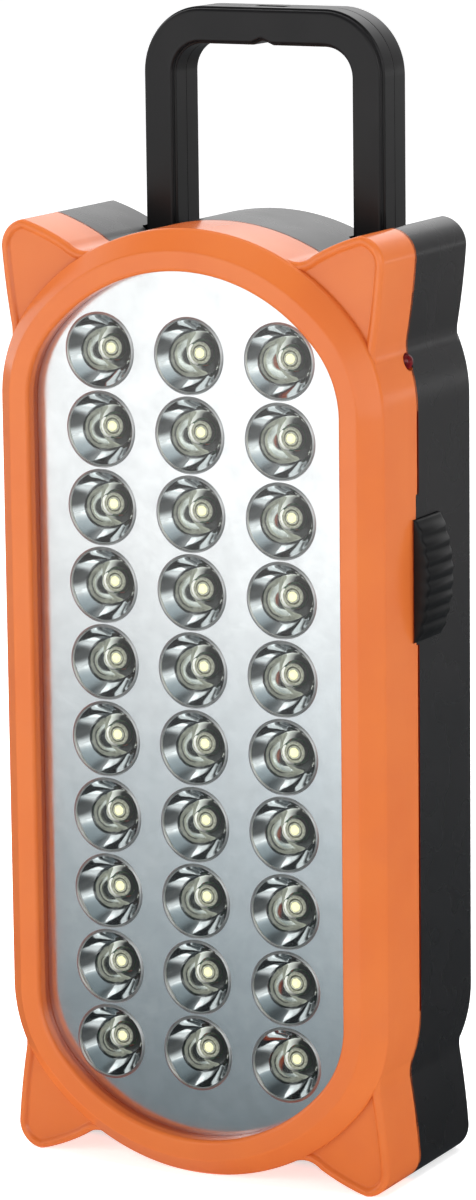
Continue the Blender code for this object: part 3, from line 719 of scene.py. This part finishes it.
def spin(bm, profile, sides, material_index):
    """Adds the surface that (radius, height) points make about Z; a radius of 0 closes an end."""
    rings = []
    for radius, height in profile:
        if radius == 0:
            rings.append([bm.verts.new((0, 0, height * MM))])
            continue
        rings.append([bm.verts.new((x * MM, y * MM, height * MM)) for x, y in circle(0, 0, radius, sides)])
    for ring, following in zip(rings, rings[1:]):
        for i in range(sides):
            j = (i + 1) % sides
            corners = [ring[i % len(ring)], ring[j % len(ring)], following[j % len(following)],
                       following[i % len(following)]]
            unique = list(dict.fromkeys(corners))
            bm.faces.new(unique).material_index = material_index


def led_inside(name, colour, patch, glow, size, **values):
    """Part of a lamp's inside, with a little painted glow that stands in for the light that the dome
    gathers.
    """
    nodes = Nodes(name)
    shader = nodes.shader(colour, 0.3, Emission_Strength=glow, **values)
    shader.inputs["Emission Color"].default_value = (*colour, 1)
    patches = nodes.ramp(nodes.noise(size, 3), 0, 1)
    nodes.link(nodes.tint(patches, colour, patch), shader.inputs["Base Color"])
    nodes.link(nodes.bump(nodes.noise(size, 2), 0.02), shader.inputs["Normal"])
    return nodes.material


def led_side_painted_light():
    """The side of a lamp's inner body, with a painted highlight and glow towards the left and painted shade
    towards the right.
    """
    nodes = Nodes("led_side_painted_light")
    shader = nodes.shader((0.9, 0.9, 0.86), 0.5, Specular_IOR_Level=0.1)
    split = nodes.add("ShaderNodeSeparateXYZ")
    nodes.link(nodes.coordinates, split.inputs["Vector"])
    across = nodes.ramp(split.outputs["X"], 0, 1, -2.1 * MM, -0.5 * MM)
    # Painted highlight at the left fading to painted shade at the right, in the base colour here and in the
    # glow below.
    nodes.link(nodes.tint(across, (0.95, 0.95, 0.92), (0.05, 0.05, 0.045)), shader.inputs["Base Color"])
    nodes.link(nodes.tint(across, (0.80, 0.80, 0.77), (0.01, 0.01, 0.008)), shader.inputs["Emission Color"])
    shader.inputs["Emission Strength"].default_value = 0.9
    nodes.link(nodes.bump(nodes.noise(0.5, 3), 0.05), shader.inputs["Normal"])
    return nodes.material


def led_materials():
    # The glow values are painted light inside each lamp: strongest on the phosphor, weaker on the cup,
    # faint on the frame.
    phosphor = led_inside("led_phosphor", srgb(250, 247, 206), srgb(240, 232, 176), 0.6, 0.2)
    bright = led_inside("led_cup", srgb(226, 226, 212), srgb(150, 150, 132), 0.24, 0.5, Metallic=0.2)
    dull = led_inside("led_frame", srgb(120, 120, 96), srgb(60, 60, 46), 0.04, 0.4, Metallic=0.3)
    return [EPOXY, phosphor, bright, dull, led_side_painted_light()]


def make_lamps():
    """Straw-hat LEDs: clear dome and flange over the cup, die and leads that the dome magnifies."""
    bm = bmesh.new()
    radius, height = 2.5, 6.0
    dome = [(0, height)]
    dome += [(radius * math.sin(a), height - radius * (1 - math.cos(a)))
             for a in np.linspace(0, math.pi / 2, 14)[1:]]
    dome += [(radius, 1.05), (2.82, 1.0), (2.9, 0.9), (2.9, 0.1), (2.8, 0), (0, 0)]
    spin(bm, dome, LAMP_SIDES, 0)
    spin(bm, [(0, 3.62), (0.5, 3.58), (0.85, 3.4), (0.98, 3.2), (0.9, 3.0), (0, 3.0)], LAMP_SIDES, 1)
    spin(bm, [(1.0, 3.0), (1.05, 3.35), (1.2, 3.42), (1.3, 3.3), (1.32, 2.9)], LAMP_SIDES, 2)
    spin(bm, [(1.32, 2.9), (1.7, 2.95)], LAMP_SIDES, 3)
    spin(bm, [(1.7, 2.95), (1.78, 3.3), (1.95, 3.42), (2.15, 3.3), (2.25, 2.8)], LAMP_SIDES, 2)
    spin(bm, [(2.25, 2.8), (2.25, 1.4), (0.8, 1.2), (0.8, 0.3), (0, 0.3)], LAMP_SIDES, 4)
    spin(bm, [(0, 2.95), (1.0, 3.0)], LAMP_SIDES, 3)
    mesh = finish_mesh(bm, "led_lamp", 40)
    for material in led_materials():
        mesh.materials.append(material)
    for name in lamp_names():
        low, high = box_mm(name)
        lamp = new_piece(name + "_lamp", mesh)
        lamp.rotation_euler = (math.pi / 2, 0, 0)
        lamp.location = Vector(((low.x + high.x) / 2, high.y, (low.z + high.z) / 2)) * MM
        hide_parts(name)
        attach(lamp, "housing")


# Handle.


def handle_outline(inset):
    """The U of one half, moved inwards by inset, with the small notch under its bar."""
    low, high = box_mm("handle_rear_half")
    outer_x, top = high.x - inset, high.z - CENTRE_Z - inset
    inner_x, under = HANDLE_INNER_X + inset, HANDLE_UNDER_Z + inset
    outer_radius, inner_radius = HANDLE_OUTER_RADIUS - inset, HANDLE_INNER_RADIUS + inset
    leg_end = low.z - CENTRE_Z + inset
    turn = math.pi / 2
    right = [(inner_x, leg_end), (outer_x, leg_end)]
    right += arc((outer_x - outer_radius, top - outer_radius), outer_radius, 0, turn, 26)
    left = [(-x, z) for x, z in reversed(right)]
    under_arc = arc((inner_x - inner_radius, under - inner_radius), inner_radius, 0, turn, 16)
    underside = [(-x, z) for x, z in under_arc]
    underside += [(-2.3, under), (-0.35, under + 0.85), (0.35, under + 0.85), (2.3, under)]
    underside += list(reversed(under_arc))
    return right + left + underside


def make_handle_half(name, node, profile):
    sections = [section(handle_outline(inset), y) for inset, y in rounded_path(profile, 4)]
    half = new_piece(name, loft_mesh(name, sections), HANDLE_BLACK)
    middle = sum(HANDLE_Y) / 2
    pocket = box_cutter("pocket", (-3.5, 3.5), (middle - 1.6, middle + 1.6), (138, 142))
    carve(half, "DIFFERENCE", [pocket])
    even_normals(half)
    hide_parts(node)
    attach(half, "handle")


def make_handle():
    """Two halves. The front one ends in a raised face with a shallow step round it."""
    front, back = HANDLE_Y
    middle = (front + back) / 2
    step = 0.4
    make_handle_half("handle_front", "handle_front_half", [
        (step + 0.9, front, 0), (step, front, 0.6), (step, front + 1.1, 0.1),
        (0, front + 1.25, 0.2), (0, middle - 0.05, 0.12), (0.4, middle - 0.05, 0),
    ])
    make_handle_half("handle_rear", "handle_rear_half", [
        (0.4, middle + 0.05, 0), (0, middle + 0.05, 0.12), (0, back, 0.9), (1.3, back, 0),
    ])


# Switch and indicator.


def knob_heights(t):
    """Crown and ridge above the wall at t, which runs from -1 at the knob's lower end to 1."""
    end_round = max(0.0, abs(t) - 0.975) / 0.025
    crown = 0.75 + 2.6 * (1 - t * t) - 0.35 * end_round**2
    ridge = 0.0
    if abs(t) < 0.93:
        ridge = 0.45 * abs(math.sin(math.pi * KNOB_RIBS * (t / 0.93 + 1) / 2)) ** 1.5
    return crown, ridge


def make_knob():
    """A crowned thumb piece with ridges, on a stem through the wall to a plate inside."""
    y_low, y_high = KNOB_Y
    middle, half = sum(KNOB_Z) / 2, (KNOB_Z[1] - KNOB_Z[0]) / 2
    base_x = HALF_WIDTH + 0.3
    edge = [(0, None), (0, 0.5), (0.12, 0.2), (0.4, 0.04), (0.8, 0)]
    columns = [(y_low + inset, drop) for inset, drop in edge]
    columns += [(y_high - inset, drop) for inset, drop in reversed(edge)]
    bm = bmesh.new()
    grid = []
    for i in range(KNOB_STEPS + 1):
        t = -1 + 2 * i / KNOB_STEPS
        crown, ridge = knob_heights(t)
        line = []
        for y, drop in columns:
            fade = min(1, max(0, min(y - y_low, y_high - y) / 0.8))
            top_x = HALF_WIDTH + crown + ridge * (0.35 + 0.65 * fade)
            x = base_x if drop is None else top_x - min(drop, 0.4)
            line.append(bm.verts.new(Vector((x, y, middle + half * t + CENTRE_Z)) * MM))
        grid.append(line)
    for line, following in zip(grid, grid[1:]):
        for k in range(len(line)):
            m = (k + 1) % len(line)
            bm.faces.new((line[k], line[m], following[m], following[k]))
    bm.faces.new(grid[0])
    bm.faces.new(grid[-1])
    knob = new_piece("slide_knob", finish_mesh(bm, "slide_knob", 50), KNOB_BLACK)
    stem_y = (SLOT_Y[0] + SLOT_PLAY, SLOT_Y[1] - SLOT_PLAY)
    stem_z = (SLOT_Z[0] + SLOT_PLAY, SLOT_Z[1] - SLOT_PLAY - SWITCH_TRAVEL)
    stem = box_cutter("stem", (39.7, base_x + 0.2), stem_y, stem_z)
    plate = box_cutter("plate", (39.2, 40.9), (-4.4, 4.8), (14.8, 37.6), 0.2)
    carve(knob, "UNION", [stem, plate])
    knob.data.set_sharp_from_angle(angle=math.radians(45))
    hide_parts("switch_knob")
    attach(knob, "switch")


def make_indicator():
    """A small dark red LED that lies on its side and shows only its dome."""
    low, high = INDICATOR_LOW, INDICATOR_HIGH
    red = Nodes("indicator_epoxy")
    shader = red.shader(srgb(120, 12, 24), 0.08, Transmission_Weight=0.35)
    red.link(red.tint(red.ramp(red.noise(0.8, 2), 0, 1), srgb(120, 12, 24), srgb(90, 8, 16)),
             shader.inputs["Base Color"])
    bm = bmesh.new()
    radius = INDICATOR_RADIUS
    top = high.x - low.x
    dome = [(0, top)]
    dome += [(radius * math.sin(a), top - radius * (1 - math.cos(a)))
             for a in np.linspace(0, math.pi / 2, 12)[1:]]
    dome += [(radius, 1.0), (2.15, 0.95), (2.15, 0.05), (2.1, 0), (0, 0)]
    spin(bm, dome, 36, 0)
    led = new_piece("indicator_lamp", finish_mesh(bm, "indicator_lamp", 40), red.material)
    led.rotation_euler = (0, math.pi / 2, 0)
    led.location = Vector((low.x, (low.y + high.y) / 2, (low.z + high.z) / 2)) * MM
    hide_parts("indicator_led")
    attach(led, "housing")


# CAD nodes that keep their shape and get better materials.


def repaint(material, *names):
    """Gives CAD nodes a material and leaves their shape alone."""
    for name in names:
        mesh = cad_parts[name].data
        mesh.materials.clear()
        mesh.materials.append(material)


def repaint_inner_nodes():
    board = plastic("board_laminate", srgb(30, 110, 58), srgb(24, 96, 50), (0.35, 0.5), 0.6, 0.01)
    case = plastic("battery_case", srgb(72, 74, 80), srgb(62, 64, 70), (0.45, 0.6))
    resin = plastic("capacitor_resin", srgb(160, 36, 26), srgb(140, 30, 22), (0.2, 0.3))
    red = plastic("red_insulation", srgb(168, 24, 18), srgb(150, 20, 16), (0.4, 0.5))
    dark = plastic("black_insulation", srgb(30, 30, 31), srgb(24, 24, 25), (0.4, 0.5))
    repaint(board, "led_board", "charger_board", "switch_body")
    repaint(case, "battery")
    repaint(resin, "film_capacitor")
    repaint(red, "battery_lead_positive", "led_lead", "inlet_lead_lower")
    repaint(dark, "battery_lead_negative", "inlet_lead_upper", "switch_lead")
    repaint(BLACK, "ac_inlet", "handle_retainer")
    repaint(BRASS, "inlet_pin_upper", "inlet_pin_lower")
    repaint(STEEL, "battery_bracket", "switch_lever", "retainer_screw")
    for place in ("upper_right", "upper_left", "lower_left", "lower_right"):
        repaint(STEEL, f"housing_screw_{place}")


# Studio.


def make_camera():
    """From the front right and a little above."""
    camera = bpy.data.cameras.new("camera")
    camera.sensor_width = 36
    camera.lens = 147.33
    camera.clip_end = 50
    obj = bpy.data.objects.new("camera", camera)
    bpy.context.scene.collection.objects.link(obj)
    obj.location = (0.46424, -0.87252, 0.30735)
    obj.rotation_euler = (math.radians(79.064), math.radians(0.671), math.radians(27.908))
    bpy.context.scene.camera = obj


def area_light(name, location, size, power, glossy=True):
    """A softbox turned to the lantern, in metres and watts; glossy surfaces may be kept from it."""
    light = bpy.data.lights.new(name, "AREA")
    light.shape = "RECTANGLE"
    light.size, light.size_y = size
    light.energy = power
    obj = bpy.data.objects.new(name, light)
    bpy.context.scene.collection.objects.link(obj)
    obj.location = location
    obj.rotation_euler = (Vector((0, 0, 0.1)) - Vector(location)).to_track_quat("-Z", "Y").to_euler()
    obj.visible_glossy = glossy


def make_floor():
    nodes = Nodes("floor_paint")
    shader = nodes.shader((0.95, 0.95, 0.95), 0.8, Emission_Color=(1, 1, 1, 1), Emission_Strength=0.63,
                          Specular_IOR_Level=0.1)
    nodes.link(nodes.bump(nodes.noise(3, 2), 0.01), shader.inputs["Normal"])
    bm = bmesh.new()
    bmesh.ops.create_grid(bm, x_segments=1, y_segments=1, size=20)
    new_piece("floor", finish_mesh(bm, "floor"), nodes.material)


def make_table_card():
    """What glossy surfaces see of the table: white far off in front, dim elsewhere."""
    nodes = Nodes("table_card")

    def across(axis, values, source):
        """A level that changes along an axis, or with the angle from it for a unit vector."""
        place = nodes.add("ShaderNodeVectorMath", operation="DOT_PRODUCT")
        place.inputs[1].default_value = axis
        nodes.link(source, place.inputs[0])
        keys = ("From Min", "From Max", "To Min", "To Max")
        level = nodes.add("ShaderNodeMapRange", dict(zip(keys, values)), interpolation_type="SMOOTHSTEP")
        nodes.link(place.outputs["Value"], level.inputs["Value"])
        return level.outputs["Result"]

    def product(first, second):
        both = nodes.add("ShaderNodeMath", operation="MULTIPLY")
        nodes.link(first, both.inputs[0])
        nodes.link(second, both.inputs[1])
        return both.outputs["Value"]

    distance = nodes.add("ShaderNodeVectorMath", operation="LENGTH")
    nodes.link(nodes.coordinates, distance.inputs[0])
    far = nodes.ramp(distance.outputs["Value"], 0.17, 1.25, 0.03, 0.88)
    unit = nodes.add("ShaderNodeVectorMath", operation="NORMALIZE")
    nodes.link(nodes.coordinates, unit.inputs[0])
    in_front = across((-0.47, -0.88, 0), (0.55, 0.93, 0.22, 1.0), unit.outputs["Vector"])
    tilt = across((0.88, -0.47, 0), (-0.05, 0.05, 0.85, 1.15), nodes.coordinates)
    level = product(product(far, in_front), tilt)
    glow = nodes.add("ShaderNodeEmission")
    nodes.link(nodes.tint(far, (0.80, 0.98, 1.08), (1, 1, 1)), glow.inputs["Color"])
    nodes.link(level, glow.inputs["Strength"])
    nodes.link(glow.outputs["Emission"], nodes.output.inputs["Surface"])
    bm = bmesh.new()
    bmesh.ops.create_grid(bm, x_segments=1, y_segments=1, size=3)
    card = new_piece("table_card", finish_mesh(bm, "table_card"), nodes.material)
    card.location.z = 0.0004
    card.visible_camera = card.visible_diffuse = card.visible_shadow = False
    card.visible_transmission = False


def make_world():
    """White all round and dim overhead, with a dark patch that gives the cups contrast."""
    world = bpy.data.worlds.new("studio")
    world.use_nodes = True
    tree = world.node_tree
    direction = tree.nodes.new("ShaderNodeTexCoord").outputs["Generated"]

    def zone(axis, values):
        """A level that changes with the angle from an axis."""
        towards = tree.nodes.new("ShaderNodeVectorMath")
        towards.operation = "DOT_PRODUCT"
        towards.inputs[1].default_value = Vector(axis).normalized()
        tree.links.new(direction, towards.inputs[0])
        level = tree.nodes.new("ShaderNodeMapRange")
        level.interpolation_type = "SMOOTHSTEP"
        for key, value in zip(("From Min", "From Max", "To Min", "To Max"), values):
            level.inputs[key].default_value = value
        tree.links.new(towards.outputs["Value"], level.inputs["Value"])
        return level.outputs["Result"]

    overhead = ((0, 0, 1), (0.45, 0.8, 1.0, 0.3))
    right = ((0.95, 0.3, 0), (0.2, 0.8, 1.0, 0.2))
    behind = ((-0.2, 0.85, 0.45), (0.94, 0.985, 1.0, 1.6))
    front_right = ((0.85, -0.5, 0.1), (0.88, 0.97, 1.0, 2.4))
    level = zone((-0.3, -0.6, 0.74), (0.70, 0.90, 1.0, 0.10))
    for axis, values in (overhead, right, behind, front_right):
        product = tree.nodes.new("ShaderNodeMath")
        product.operation = "MULTIPLY"
        tree.links.new(level, product.inputs[0])
        tree.links.new(zone(axis, values), product.inputs[1])
        level = product.outputs["Value"]
    tree.links.new(level, tree.nodes["Background"].inputs["Strength"])
    tree.nodes["Background"].inputs["Color"].default_value = (1, 1, 1, 1)
    bpy.context.scene.world = world


def make_studio():
    make_floor()
    make_table_card()
    make_world()
    area_light("key", (-0.7, -1.4, 0.8), (1.2, 1.2), 13.5, glossy=False)
    area_light("overhead", (0, 0.2, 1.3), (1.2, 1.2), 22, glossy=False)
    area_light("fill", (1.4, 0.1, 0.3), (0.8, 0.8), 6, glossy=False)
    area_light("strip", (1.2, -0.55, 0.35), (0.10, 0.9), 1.2)
    view = bpy.context.scene.view_settings
    view.view_transform = "Standard"
    view.look = "None"


make_camera()
make_studio()
make_front_shell()
make_rear_shell()
make_window()
make_reflector()
make_lamps()
make_handle()
make_knob()
make_indicator()
repaint_inner_nodes()
